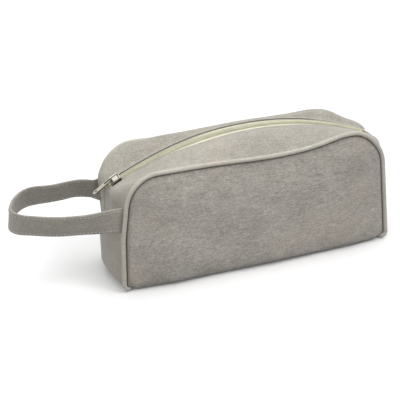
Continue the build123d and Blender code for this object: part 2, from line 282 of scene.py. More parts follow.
def sheet(name, rows, inwards):
    """A thin grid at rows of points in millimetres, turned away from the point inwards."""
    across, along = len(rows), len(rows[0])
    bpy.ops.object.select_all(action="DESELECT")
    bpy.ops.mesh.primitive_grid_add(x_subdivisions=along - 1, y_subdivisions=across - 1, size=0.2)
    obj = added(name)
    assert len(obj.data.vertices) == across * along
    for k, vertex in enumerate(obj.data.vertices):
        vertex.co = rows[k // along][k % along] * mm
    middle = rows[across // 2][along // 2]
    facing = obj.data.polygons[len(obj.data.polygons) // 2].normal
    outward = middle - inwards
    if facing.dot(outward) < 0:
        obj.data.flip_normals()
    return obj


def thicken(obj, thickness):
    """Gives a grid the thickness of its cloth, on its inner side."""
    apply_modifier(obj, "SOLIDIFY", thickness=thickness * mm, offset=-1.0)
    smooth_shade(obj, 50)
    return obj


def skin(name, rows, inwards, thickness=cloth):
    """A cloth whose outer face lies at rows of points."""
    return thicken(sheet(name, rows, inwards), thickness)


print("cloth:", cloth, "mm")


# %% [markdown]
# ## The zip's arc
# The zip follows one arc about an axis along Y, so that the slider can run
# on it with a single turn. The gusset's folded edges follow the same arc, and
# turn down over each end of the bag with a small corner.

# %% The arc
arc_x, arc_z, arc_radius = 5.0, -158.0, 280.0
under_zip = Vector((5, 0, -100))
left_angle, right_angle = -28.4, 25.0
opening_middle = 8.0
opening_ends = 5.4
edge_height = 1.2
fold_radius = 12.0
end_bulge = 3.0
gusset_inset = 1.6
gusset_half = 31.6


def on_arc(radius, angle, y=0.0):
    """A point on an arc about the zip's axis, angle in degrees from the top."""
    a = math.radians(angle)
    return Vector((arc_x + radius * math.sin(a), y, arc_z + radius * math.cos(a)))


def fold_outline():
    """The same walk as the upper outline, along the folded edge beside the zip."""
    side = half_length - gusset_inset + end_bulge
    r, radius = fold_radius, arc_radius + edge_height
    corners = []
    for sign in (-1, 1):
        cx = sign * (side - r)
        cz = arc_z + math.sqrt((radius - r) ** 2 - (cx - arc_x) ** 2)
        corners.append((cx, cz, math.degrees(math.atan2(cz - arc_z, cx - arc_x))))
    (lx, lz, la), (rx, rz, ra) = corners
    points = run((-side, cross_seam), (-side, lz), 8)
    points += arc(lx, lz, r, 180, la, 16)
    points += arc(arc_x, arc_z, radius, la, ra, 64)
    points += arc(rx, rz, r, ra, 0, 16)
    points += run((side, rz), (side, cross_seam), 8)
    return points + [(side, cross_seam)]


def opening_at(x):
    """Half the width between the folded edges."""
    return blend_value(opening_middle, opening_ends, step((abs(x - arc_x) - 40) / 70))


print("crest of the zip:", round(arc_z + arc_radius, 1), "mm")


# %% [markdown]
# ## Colours and shader maths
# Colours are written as they look on the screen and turned into the linear
# values that the renderer needs. Shader maths is written as plain
# expressions: a small class wraps a socket, and each operator adds a node.

# %% Colour values
def screen(r, g, b):
    """A colour from 0 to 255 as seen, turned into a linear one."""
    def linear(c):
        c /= 255
        return c / 12.92 if c <= 0.04045 else ((c + 0.055) / 1.055) ** 2.4
    return (linear(r), linear(g), linear(b), 1.0)


# %% Sockets with operators
class Signal:
    """A socket in a material; operators on it add Math nodes."""

    def __init__(self, finish, socket):
        self.finish, self.socket = finish, socket

    def _math(self, operation, a, b=None):
        inputs = {0: a} if b is None else {0: a, 1: b}
        return self.finish.node("ShaderNodeMath", {"operation": operation}, inputs)

    def __add__(self, other):
        return self._math("ADD", self, other)

    def __radd__(self, other):
        return self._math("ADD", other, self)

    def __sub__(self, other):
        return self._math("SUBTRACT", self, other)

    def __rsub__(self, other):
        return self._math("SUBTRACT", other, self)

    def __mul__(self, other):
        return self._math("MULTIPLY", self, other)

    def __rmul__(self, other):
        return self._math("MULTIPLY", other, self)

    def sine(self):
        return self._math("SINE", self)


class Finish:
    """A material under construction."""

    def __init__(self, name):
        self.material = bpy.data.materials.new(name)
        self.material.use_nodes = True
        self.tree = self.material.node_tree
        self.shader = self.tree.nodes["Principled BSDF"]

    def node(self, kind, settings=None, inputs=None, output=0):
        """Adds a node, sets it up, fills its inputs and gives one output."""
        made = self.tree.nodes.new(kind)
        for key, value in (settings or {}).items():
            if key == "stops":
                self.set_stops(made.color_ramp, value)
            else:
                setattr(made, key, value)
        for key, value in (inputs or {}).items():
            if isinstance(value, Signal):
                self.tree.links.new(value.socket, made.inputs[key])
            else:
                made.inputs[key].default_value = value
        return Signal(self, made.outputs[output])

    def set_stops(self, ramp, stops):
        """Gives a colour ramp its stops."""
        while len(ramp.elements) < len(stops):
            ramp.elements.new(0.5)
        for element, (place, colour) in zip(ramp.elements, stops):
            element.position = place
            element.color = colour

    def place(self, scale=(1, 1, 1)):
        """Object coordinates, stretched by scale."""
        coordinates = self.node("ShaderNodeTexCoord", output="Object")
        return self.node("ShaderNodeMapping", {}, {"Vector": coordinates, "Scale": scale})

    def noise(self, vector, scale, detail=3.0, roughness=0.55):
        """A cloudy pattern; a larger scale makes it finer."""
        inputs = {"Vector": vector, "Scale": scale, "Detail": detail, "Roughness": roughness}
        return self.node("ShaderNodeTexNoise", {}, inputs)

    def mix(self, factor, a, b):
        """Mixes two colours."""
        return self.node("ShaderNodeMix", {"data_type": "RGBA"}, {0: factor, 6: a, 7: b}, output=2)

    def ramp(self, factor, stops):
        """Turns a value into a colour between stops."""
        return self.node("ShaderNodeValToRGB", {"stops": stops}, {0: factor})

    def curve(self, value, low, high):
        """Spreads the range from low to high over 0 to 1, and clips it."""
        inputs = {"Value": value, "From Min": low, "From Max": high}
        return self.node("ShaderNodeMapRange", {"clamp": True}, inputs)

    def bump(self, height, strength, distance, under=None):
        """Relief from a height, with its distance in millimetres, over another relief."""
        inputs = {"Height": height, "Strength": strength, "Distance": distance * mm}
        if under is not None:
            inputs["Normal"] = under
        return self.node("ShaderNodeBump", {}, inputs)

    def set(self, **values):
        """Sets or links the shader's sockets; underscores stand for spaces."""
        for key, value in values.items():
            socket = self.shader.inputs[key.replace("_", " ")]
            if isinstance(value, Signal):
                self.tree.links.new(value.socket, socket)
            else:
                socket.default_value = value
        return self.material


print("shader helpers ready")


# %% [markdown]
# ## Leatherette
# The bag is made of a soft, matt leatherette with a brushed look: a fine
# grain, faint streaks along the bag, and cloudy patches that are a little
# warmer or cooler. Four noises give the tone, from broad clouds down to short
# hatching, and a fifth warms some of the clouds. A fine noise, the cells of a
# Voronoi texture and a broader noise give the grain, the small creases and the
# shallow folds, all as bump. A little sheen stands for the nap. Where a piece
# stores a painted seam shadow, the colour darkens there: painted shade in the
# seam's groove and beside the zip's folds.

# %% The leatherette finish
warm_tone = (178, 158, 146)
seam_shadow_tone = (44, 40, 36)


def leatherette(name, dark, middle, light, seam=False):
    """Soft brushed leatherette from three tones as seen."""
    made = Finish(name)
    flat = made.place()
    stretched = made.place((0.42, 1.0, 1.0))
    clouds = made.curve(made.noise(flat, 26.0, 3.0, 0.6), 0.25, 0.78)
    patches = made.curve(made.noise(stretched, 190.0, 3.0, 0.6), 0.28, 0.74)
    specks = made.curve(made.noise(stretched, 1150.0, 2.0, 0.7), 0.28, 0.74)
    hatch = made.curve(made.noise(made.place((0.16, 1.0, 1.0)), 900.0, 2.0, 0.6), 0.3, 0.72)
    tone = clouds * 0.20 + patches * 0.12 + specks * 0.46 + hatch * 0.22
    colour = made.ramp(tone, [(0.15, screen(*dark)), (0.5, screen(*middle)), (0.85, screen(*light))])
    warmth = made.curve(made.noise(flat, 17.0, 2.0, 0.5), 0.5, 0.8)
    colour = made.mix(warmth * 0.30, colour, screen(*warm_tone))
    # Painted shadow: where a piece stores it, the seam's groove and the zip's folded edges are darkened in
    # the colour.
    if seam:
        depth = made.node("ShaderNodeAttribute", {"attribute_name": "seam_depth"}, output=2)
        colour = made.mix(depth * 0.85, colour, screen(*seam_shadow_tone))
    grain = made.noise(flat, 1500.0, 3.0, 0.6)
    creases = made.node("ShaderNodeTexVoronoi", {"feature": "DISTANCE_TO_EDGE"},
                        {"Vector": made.place((0.6, 1.0, 1.0)), "Scale": 620.0})
    folds = made.noise(stretched, 110.0, 3.0, 0.6)
    normal = made.bump(grain, 0.55, 0.10)
    normal = made.bump(made.curve(creases, 0.0, 0.16), 0.30, 0.08, normal)
    normal = made.bump(folds, 0.55, 0.35, normal)
    rough = 0.60 + 0.16 * specks
    return made.set(Base_Color=colour, Roughness=rough, Normal=normal, Sheen_Weight=0.22,
                    Sheen_Roughness=0.55, Specular_IOR_Level=0.32)


panel_leather = leatherette("panel_leather", (122, 118, 110), (162, 157, 149), (200, 196, 187),
                            seam=True)
gusset_leather = leatherette("gusset_leather", (129, 126, 117), (158, 154, 144), (186, 182, 172),
                             seam=True)
piping_leather = leatherette("piping_leather", (160, 156, 146), (182, 178, 167), (202, 198, 187))
strap_leather = leatherette("strap_leather", (118, 114, 107), (146, 142, 134), (172, 168, 160))
print("leatherettes:", [m.name for m in bpy.data.materials if m.name.endswith("_leather")])


# %% [markdown]
# ## Thread, tape, coil, lining and metal
# Thread is pale and slightly glossy. The zip's tape is woven, so its bump is
# a fine rib, from two crossed waves. The coil is smooth nylon. The slider and
# the pull are polished nickel. So small a mirror shows mostly the bag beside
# it, so the faces that look sideways get a painted reflection: a darker tone,
# painted by the direction of the face on the object. That stays in place when
# the camera moves. The pull's nickel is also given a darker tone than the
# slider's, as painted shade. Handling has dulled the plating in patches, which
# are rougher as well.

# %% Fine cloth finishes
def woven(name, dark, light, pitch, strength=0.5):
    """A plain weave: two crossed sets of ribs, with a pitch in millimetres."""
    made = Finish(name)
    place = made.place()
    parts = made.tree.nodes.new("ShaderNodeSeparateXYZ")
    made.tree.links.new(place.socket, parts.inputs[0])
    x, y, z = (Signal(made, parts.outputs[k]) for k in range(3))
    turns = 2 * math.pi / (pitch * mm)
    weave = (x * turns).sine() * (y * turns + z * turns).sine()
    cloudy = made.noise(place, 140.0, 3.0, 0.6)
    tone = made.curve(weave * 0.25 + cloudy, 0.1, 0.95)
    colour = made.ramp(tone, [(0.0, screen(*dark)), (1.0, screen(*light))])
    return made.set(Base_Color=colour, Roughness=0.8 - 0.08 * cloudy,
                    Normal=made.bump(weave, strength, pitch * 0.2), Sheen_Weight=0.15)


tape_cloth = woven("tape_cloth", (208, 204, 182), (232, 228, 208), 0.7)
lining_cloth = woven("lining_cloth", (150, 146, 138), (178, 174, 166), 0.5)
binding_cloth = woven("binding_cloth", (120, 115, 108), (150, 145, 137), 0.9)
foam_cloth = woven("foam_cloth", (205, 203, 196), (228, 226, 220), 1.4, 0.8)


# %% Thread and coil
def thread(name, dark, light, roughness):
    """Smooth fibre with a fine twist."""
    made = Finish(name)
    place = made.place()
    fibre = made.noise(place, 1800.0, 2.0, 0.6)
    cloudy = made.noise(place, 90.0, 2.0, 0.5)
    colour = made.ramp(fibre * 0.5 + cloudy * 0.5, [(0.25, screen(*dark)), (0.75, screen(*light))])
    return made.set(Base_Color=colour, Roughness=roughness + 0.1 * fibre,
                    Normal=made.bump(fibre, 0.4, 0.05), Sheen_Weight=0.1)


pale_thread = thread("pale_thread", (178, 174, 164), (208, 204, 195), 0.55)
cord_thread = thread("cord_thread", (200, 196, 186), (226, 222, 214), 0.7)
coil_nylon = thread("coil_nylon", (184, 182, 156), (212, 210, 186), 0.34)


# %% Nickel
dull_tone = (178, 172, 158)
painted_bag_reflection = (70, 66, 58)


def nickel(name, tone, side_shade=0.85):
    """Polished plated metal; side_shade says how much darker the painted reflection makes the sides."""
    made = Finish(name)
    place = made.place()
    facing = made.tree.nodes.new("ShaderNodeTexCoord")
    parts = made.tree.nodes.new("ShaderNodeSeparateXYZ")
    made.tree.links.new(facing.outputs["Normal"], parts.inputs[0])
    upward = made.curve(Signal(made, parts.outputs[2]), 0.25, 0.9)
    dull = made.curve(made.noise(place, 420.0, 3.0, 0.6), 0.35, 0.75)
    brushed = made.noise(made.place((6.0, 1.0, 1.0)), 900.0, 2.0, 0.5)
    colour = made.mix(dull * 0.3, screen(*tone), screen(*dull_tone))
    # Painted reflection: faces turned sideways are darkened in the colour, as if they mirrored the bag
    # beside them.
    colour = made.mix(side_shade - side_shade * upward, colour, screen(*painted_bag_reflection))
    return made.set(Base_Color=colour, Metallic=1.0, Roughness=0.18 + 0.2 * dull,
                    Normal=made.bump(brushed, 0.2, 0.03))


slider_nickel = nickel("slider_nickel", (240, 236, 224))
# The pull is the same nickel as the slider, given a darker tone as painted shade.
shaded_pull_nickel = nickel("shaded_pull_nickel", (206, 201, 188), 0.8)
stop_nickel = nickel("stop_nickel", (240, 236, 214), 0.1)
print("materials:", len(bpy.data.materials))


# %% Giving a piece its finish
def finish_with(obj, material):
    """Gives a new piece its material."""
    obj.data.materials.clear()
    obj.data.materials.append(material)
    return obj


# %% [markdown]
# ## Front and back panels
# Each panel is one soft sheet that the filling pushes out. It dives into the
# seam at its border, and its belly stands out most near the floor. The grid's
# columns run from the bottom seam to the top seam, closer together at the
# rounded corners, so the border follows the outline exactly. A formula gives
# the main swell. Blender's cloth simulation then lets the filling press on
# the sheet for a few frames while the seam holds its border, which adds the
# small uneven swells that a formula lacks. Each point's move is capped, so the
# panel keeps its size. Solidify gives the cloth its thickness last.

# %% Panel shape
panel_inset = 4.3
belly = 8.6
crown = 4.8
border_roll, low_roll, high_roll = 8.0, 6, 9
belly_height, belly_fade = 14, 80
middle_swell, swell_fade = 1.6, 45
end_fade = 60                # the belly is full this far from an end
groove, border_lift = 2.2, 0.2
seam_line, seam_fade = 0.35, 1.1
panel_columns, panel_levels = 64, 56
crowding = 0.97              # how far the levels draw together at both seams
wrinkles = ((0.016, 0.03, 0, 1.4), (0.05, 0.06, 7, 0.5))  # two scales, a shift, a height

# The simulation's values
growth = 0.02
largest_push = 2.0
pressing_frames = 20
held_border, held_fade = 3, 12


def column_limits(inset, x):
    """Lowest and highest point of the outline at a place along the bag."""
    side, r, low_r = half_length - inset, top_radius - inset, max(low_radius - inset, 1.5)
    from_end = side - abs(x)
    drop = r - math.sqrt(max(r * r - (r - from_end) ** 2, 0)) if from_end < r else 0
    lift = low_r - math.sqrt(max(low_r ** 2 - (low_r - from_end) ** 2, 0)) if from_end < low_r else 0
    return inset + lift, top - inset - drop


def column_places(inset, inner):
    """Places of the columns, drawn together at the rounded ends."""
    side, r = half_length - inset, top_radius - inset
    ends = [side - r * (1 - math.cos(math.radians(90 * (k / 14) ** 1.15))) for k in range(15)]
    flat = side - r
    inside = [flat - 2 * flat * k / inner for k in range(1, inner)]
    return sorted([-x for x in ends] + inside + ends)


def distance_to_seam(inset, x, z):
    """How far a point of the panel is from its border."""
    side, r = half_length - inset, top_radius - inset
    low, high = inset, top - inset
    cx, cz = side - r, high - r
    if abs(x) > cx and z > cz:
        upper = r - math.hypot(abs(x) - cx, z - cz)
    else:
        upper = min(side - abs(x), high - z)
    return max(min(upper, z - low), 0.0)


def stand_out(x, z, d):
    """How far the filling pushes the panel out, in millimetres."""
    ends = step((half_length - abs(x)) / end_fade)
    low_part = step(1 - (z - belly_height) / belly_fade)
    full = crown + (belly - crown) * low_part * ends
    roll = border_roll + low_roll * ends * low_part + high_roll * ends * step((z - 60) / 40)
    t = min(d / roll, 1.0)
    edge = math.sqrt(1 - (1 - t) ** 2)
    return full * edge + middle_swell * step(d / swell_fade)


def mark(obj, name, values):
    """Stores one number per point; the inner skin that solidify added gets the same ones."""
    stored = obj.data.attributes.new(name, "FLOAT", "POINT")
    total = len(obj.data.vertices)
    spare = max(total - 2 * len(values), 0)
    stored.data.foreach_set("value", (list(values) * 2)[:total] + [0.0] * spare)


def fill_out(obj, distances):
    """Lets the filling press a panel out for some frames, with its border held in the seam."""
    before = [vertex.co.copy() for vertex in obj.data.vertices]
    held = obj.vertex_groups.new(name="seam")
    for k, d in enumerate(distances):
        held.add([k], 1 - step((d - held_border) / held_fade), "REPLACE")
    filling = obj.modifiers.new("filling", "CLOTH")
    filling.settings.quality = 6
    filling.settings.mass = 0.2
    filling.settings.vertex_group_mass = "seam"
    filling.settings.bending_stiffness = 0.4
    filling.settings.use_pressure = True
    filling.settings.uniform_pressure_force = 4.0
    filling.settings.shrink_min = -growth
    filling.settings.effector_weights.gravity = 0.0
    filling.collision_settings.use_collision = False
    for number in range(1, pressing_frames + 1):
        bpy.context.scene.frame_set(number)
    alone(obj)
    bpy.ops.object.modifier_apply(modifier="filling")
    bpy.context.scene.frame_set(1)
    moved, cap = 0.0, largest_push * mm
    for vertex, start in zip(obj.data.vertices, before):
        way = vertex.co - start
        length = max(way.length, 1e-9)
        kept = cap * math.tanh(length / cap)
        vertex.co = start + way * (kept / length)
        moved = max(moved, kept)
    obj.vertex_groups.clear()
    print(obj.name, "was pushed out by up to", round(moved / mm, 2), "mm")


def panel(name, side, seed):
    """One panel; side is -1 for the front and 1 for the back."""
    seam_shadow_weights, distances = [], []
    columns = column_places(panel_inset, panel_columns)
    rows = []
    for j in range(panel_levels + 1):
        row = []
        for x in columns:
            low, high = column_limits(panel_inset, x)
            t = j / panel_levels
            t -= crowding * math.sin(2 * math.pi * t) / (2 * math.pi)
            z = low + (high - low) * t
            d = distance_to_seam(panel_inset, x, z)
            out = stand_out(x, z, d)
            drift = sum(noise.noise(Vector((x * along, z * up, seed + shift))) * height
                        for along, up, shift, height in wrinkles)
            out += drift * step(d / 14)
            y = side * (seam_y + border_lift - groove + out)
            point = settle(x, side * seam_y, z)
            point.y += y - side * seam_y
            row.append(point)
            # Painted shadow in the seam: full at the border, fading over about a millimetre into the panel.
            seam_shadow_weights.append(math.exp(-max(d - seam_line, 0) / seam_fade))
            distances.append(d)
        rows.append(row)
    obj = sheet(name, rows, Vector((0, -side * 200, 56)))
    fill_out(obj, distances)
    thicken(obj, cloth)
    mark(obj, "seam_depth", seam_shadow_weights)
    return obj


front = panel("front_panel_soft", -1, 3.0)
back = panel("back_panel_soft", 1, 11.0)
for piece, node in ((front, "front_panel"), (back, "back_panel")):
    finish_with(piece, panel_leather)
    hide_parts(node)
    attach(piece, "bag")
print("panel points:", len(front.data.vertices))


# %% [markdown]
# ## Gusset
# The gusset joins the two panels. Its upper part is cut along the middle for
# the zip, and the two halves swell between the seam and the folded edge. The
# ends and the bottom are plain strips between the two seams. Each strip could
# be a curve swept along another, but rows of points from edge to edge follow
# two different edges at once, and a hump is then one more term. A last row
# turns the fold under, and its stored shade draws the dark line beside the zip.

# %% The halves beside the zip
seam_inset = 2.4
edge_y = seam_y - 1.0
zip_rows, end_rows, bottom_rows = 22, 30, 24
fold_cloth = 1.3
fold_depth, fold_turn = 1.0, 126   # past fold_turn the fold runs down an end of the bag
back_hump, back_humps = 3.0, ((8.5, 80, 30), (7.5, -84, 44))
front_hump, front_humps = 1.5, ((1.0, 90, 34),)
arch = 0.75                        # how round the halves rise, between straight and a quarter wave
seam_shade = 0.7
fold_shades = (0.35, 1.0)
front_fold_shade = 0.6


def lay(a, b, rows, shape):
    """Rows of points from edge a to edge b; shape puts the point at share t of pair k, p to q."""
    made = []
    for j in range(rows + 1):
        t = j / rows
        made.append([shape(t, k, p, q) for k, (p, q) in enumerate(zip(a, b))])
    return made


def folded_in(p):
    """The fold's inner edge: down from the fold, or inwards where it runs down an end."""
    if abs(p.x) > fold_turn:
        return p + Vector((-math.copysign(fold_depth, p.x), 0, 0))
    return p + Vector((0, 0, -fold_depth))


def zip_half(name, side):
    """The gusset on one side of the zip."""
    seam = upper_outline(seam_inset)
    fold = fold_outline()
    count = len(seam)

    def shape(t, k, p, q):
        u = k / (count - 1)
        rise = blend_value(t, math.sin(t * math.pi / 2), arch)
        x = blend_value(p[0], q[0], rise)
        z = blend_value(p[1], q[1], rise)
        y = blend_value(edge_y, opening_at(q[0]), t)
        hump = humps(x, back_hump, back_humps) if side > 0 else humps(x, front_hump, front_humps)
        swell = hump * math.sin(math.pi * min(t * 1.15, 1.0)) ** 0.8 * step(min(u, 1 - u) * 7)
        drift = noise.noise(Vector((x * 0.03, t * 2.0, 5.0 + side))) * 0.9 * math.sin(math.pi * t)
        away = Vector((x, 0, z - 20)).normalized()
        point = settle(x, side * y, z)
        return point + away * (swell + drift)

    rows = lay(seam, fold, zip_rows, shape)
    rows.append([folded_in(p) for p in rows[-1]])
    # Painted shade: the row at the seam and the two rows of the fold are darkened in the colour; on the
    # back half the fold's shade fades out towards the right.
    shade = [seam_shade] * count + [0.0] * (len(rows) - 3) * count
    for weight in fold_shades:
        for p in fold:
            fade = 1 - step((p[0] - 58) / 20) if side > 0 else front_fold_shade
            shade.append(fade * weight)
    obj = skin(name, rows, Vector((0, side * 5, 20)), fold_cloth)
    mark(obj, "seam_depth", shade)
    return obj


gusset_front = zip_half("zip_gusset_front_soft", -1)
gusset_back = zip_half("zip_gusset_back_soft", 1)
for piece, node in ((gusset_front, "zip_gusset_front"), (gusset_back, "zip_gusset_back")):
    finish_with(piece, gusset_leather)
    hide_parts(node)
    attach(piece, "bag")
print("points on a half beside the zip:", len(gusset_back.data.vertices))


# %% The ends and the bottom
left_low_bulge, right_low_bulge = 5.0, 2.6
foot_start, foot_pull = 0.74, 0.80   # the bulge goes back in towards the foot
sole_drop, floor_gap = 2.4, 0.35


def end_strip(name, sign, node):
    """An end of the gusset below the cross seam."""
    edge = side_outline(seam_inset, sign)
    count = len(edge)

    def shape(t, k, p, q):
        y = blend_value(-edge_y, edge_y, t)
        u = k / (count - 1)
        fullness = end_bulge + (left_low_bulge if sign < 0 else right_low_bulge) * step(u * 2.4)
        foot = 1 - foot_pull * step((u - foot_start) / 0.26)
        swell = fullness * (1 - (2 * t - 1) ** 2) * foot * step(t / 0.12)
        drift = noise.noise(Vector((t * 2.2, u * 2.4, 21.0 + sign))) * 1.1 * math.sin(math.pi * t)
        point = settle(p[0], y, p[1])
        point.x += sign * (swell + drift)
        return point

    piece = skin(name, lay(edge, edge, end_rows, shape), Vector((0, 0, 40)))
    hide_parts(node)
    return piece


def bottom_strip(name, node):
    """The underside, between the lower seams."""
    edge = bottom_outline(seam_inset)

    def shape(t, k, p, q):
        y = blend_value(-edge_y, edge_y, t)
        point = settle(p[0], y, p[1])
        sole = (1 - (2 * t - 1) ** 4) * step((124 - abs(p[0])) / 16)
        point.z = max(point.z - sole_drop * sole, floor_gap)
        return point

    piece = skin(name, lay(edge, edge, bottom_rows, shape), Vector((0, 0, 40)))
    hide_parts(node)
    return piece


ends = [end_strip("left_end_soft", -1, "left_end_panel"), end_strip("right_end_soft", 1, "right_end_panel"),
        bottom_strip("bottom_soft", "bottom_panel")]
for piece in ends:
    finish_with(piece, gusset_leather)
    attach(piece, "bag")
print("gusset pieces:", 2 + len(ends))


# %% [markdown]
# ## Piping
# The piping is a strip of leatherette sewn round a cord. It is a tube along
# the seam, and a curve with a round bevel is the direct way to make it. The
# curve is closed and settles with the panels. The tube shown is a little
# thinner than the solid one, since the seam swallows some of it.

# %% Piping
piping_shown = 1.95
cord_shown = 1.2


def seam_tube(name, side, node, radius, material):
    """A tube round one panel: the piping's cloth, or the cord inside it."""
    points = [settle(x, side * seam_y, z) for x, z in whole_outline(piping_radius)]
    curve = bpy.data.curves.new(name, "CURVE")
    curve.dimensions = "3D"
    curve.bevel_depth = radius * mm
    curve.bevel_resolution = 5
    line = curve.splines.new("POLY")
    line.points.add(len(points) - 1)
    for target, point in zip(line.points, points):
        target.co = (*(point * mm), 1.0)
    line.use_cyclic_u = True
    obj = bpy.data.objects.new(name, curve)
    bpy.context.collection.objects.link(obj)
    alone(obj)
    bpy.ops.object.convert(target="MESH")
    obj = added(name)
    smooth_shade(obj, 60)
    finish_with(obj, material)
    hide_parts(node)
    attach(obj, "bag")
    return obj


for word, side in (("front", -1), ("back", 1)):
    seam_tube(f"{word}_piping_soft", side, f"{word}_piping", piping_shown, piping_leather)
    seam_tube(f"{word}_piping_cord_laid", side, f"{word}_piping_cord", cord_shown, cord_thread)
laid = [settle(x, -seam_y, z) for x, z in whole_outline(piping_radius)]
print("front piping:", round(sum((b - a).length for a, b in zip(laid, laid[1:] + laid[:1]))), "mm round")


# %% [markdown]
# ## Inside the walls
# Foam and lining lie behind each panel, and a tape binds the seam's raw
# edges. They can't be seen from outside, so plain sheets do. They settle with
# the panel, so they stay inside it.

# %% Foam, lining and binding
sheet_columns, sheet_levels = 40, 12
foam_inset, foam_depth, foam_cloth_thickness = 10.5, 2.0, 2.0
lining_inset, lining_depth, lining_thickness = 8.0, 4.4, 0.4
binding_insets = (5.2, 7.4, 9.6)
binding_depth, binding_thickness = 1.6, 1.0


def inner_sheet(name, side, node, inset, depth, thickness):
    """A sheet behind a panel, with the panel's own outline moved in."""
    rows = []
    columns = column_places(inset, sheet_columns)
    for j in range(sheet_levels + 1):
        row = []
        for x in columns:
            low, high = column_limits(inset, x)
            point = settle(x, side * seam_y, low + (high - low) * j / sheet_levels)
            point.y -= side * depth
            row.append(point)
        rows.append(row)
    obj = skin(name, rows, Vector((0, -side * 200, 56)), thickness)
    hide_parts(node)
    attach(obj, "bag")
    return obj


def seam_band(name, side, node):
    """The tape that binds the seam inside, a closed band along the outline."""
    rows = []
    for inset in binding_insets:
        row = []
        for x, z in whole_outline(inset):
            point = settle(x, side * seam_y, z)
            point.y -= side * binding_depth
            row.append(point)
        rows.append(row + [row[0].copy()])
    obj = skin(name, rows, Vector((0, -side * 200, 56)), binding_thickness)
    alone(obj)
    bpy.ops.object.mode_set(mode="EDIT")
    bpy.ops.mesh.select_all(action="SELECT")
    bpy.ops.mesh.remove_doubles(threshold=0.00001)
    bpy.ops.object.mode_set(mode="OBJECT")
    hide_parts(node)
    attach(obj, "bag")
    return obj


for word, side in (("front", -1), ("back", 1)):
    foam = inner_sheet(f"{word}_foam_sheet", side, f"{word}_foam",
                       foam_inset, foam_depth, foam_cloth_thickness)
    finish_with(foam, foam_cloth)
    lining = inner_sheet(f"{word}_lining_sheet", side, f"{word}_lining",
                         lining_inset, lining_depth, lining_thickness)
    finish_with(lining, lining_cloth)
    binding = seam_band(f"{word}_seam_tape", side, f"{word}_seam_binding")
    finish_with(binding, binding_cloth)
print("points on a seam tape:", len(binding.data.vertices))


# %% [markdown]
# ## Zip tape
# The woven tape shows between the folded edges, with the coil along its
# middle. It lies on the zip's own arc, so it is laid in steps of the arc's
# angle. It is drawn in at both ends, where it goes under the end tabs.

# %% Tape
zip_steps = 120
tape_rows = 6
tape_inner, tape_end, tape_outer = 0.3, 5.0, 12.0
tape_taper = 10                  # in steps along the zip
tape_cloth_thickness = 0.5


def tape(name, side, node):
    """One half of the tape, on the zip's arc."""
    rows = []
    for j in range(tape_rows + 1):
        t = j / tape_rows
        row = []
        for k in range(zip_steps + 1):
            angle = blend_value(left_angle, right_angle, k / zip_steps)
            p = on_arc(arc_radius, angle)
            wide = blend_value(tape_end, tape_outer, step(min(k, zip_steps - k) / tape_taper))
            p.y = side * blend_value(tape_inner, wide, t)
            row.append(p)
        rows.append(row)
    obj = skin(name, rows, under_zip, tape_cloth_thickness)
    finish_with(obj, tape_cloth)
    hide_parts(node)
    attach(obj, "bag")
    return obj


tape("zip_tape_front_woven", -1, "zip_tape_front")
tape("zip_tape_back_woven", 1, "zip_tape_back")
print("zip tape:", round(math.radians(right_angle - left_angle) * arc_radius), "mm long")


# %% [markdown]
# ## Zip lips
# Towards the ends of the zip the folded cloth lies over most of the tape, so
# the pale band narrows there. A thin lip on each side, sewn down on the tape,
# shows that. It is a strip on the same arc, a little above the tape.

# %% Lips
lip_rows = 4
lip_lift, lip_thickness = 0.26, 0.2
lip_end_gap = 0.1                # in degrees
lip_under_fold = 1.5
lip_middle, lip_end = 7.2, 3.55  # from the zip's line to the lip's edge


def lip(name, side):
    """The folded cloth's thin inner lip, sewn down on the tape; it is widest at the ends."""
    rows = []
    for j in range(lip_rows + 1):
        row = []
        for k in range(zip_steps + 1):
            angle = blend_value(left_angle + lip_end_gap, right_angle - lip_end_gap, k / zip_steps)
            p = on_arc(arc_radius + lip_lift, angle)
            far = opening_at(p.x) + lip_under_fold
            near = blend_value(lip_middle, lip_end, step((abs(p.x - arc_x) - 30) / 66))
            p.y = side * blend_value(far, near, j / lip_rows)
            row.append(p)
        rows.append(row)
    obj = skin(name, rows, under_zip, lip_thickness)
    finish_with(obj, gusset_leather)
    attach(obj, "bag")


lip("zip_lip_front", -1)
lip("zip_lip_back", 1)


# %% [markdown]
# ## Zip coil
# The coil is a flattened spiral of nylon, sewn on the edge of each tape. It
# is drawn as many short loops, each a few faces only, so that the turns show
# from close by. One small ring is added with an operator, squashed and leaned
# in its formula, and laid again and again along the arc. The back row stands
# half a turn further on, so that the turns mesh.

# %% Coil
coil_pitch = 1.5
stop_length = 3.0
ring_radius, wire_radius = 0.0013, 0.00036   # in metres, as the operator takes them
ring_across, ring_height = 0.00165, 0.00095  # the ring's middle, from the zip's line and its tape
ring_length, ring_lean, ring_width, ring_rise = 0.9, 0.16, 1.15, 0.55  # shares of the round ring


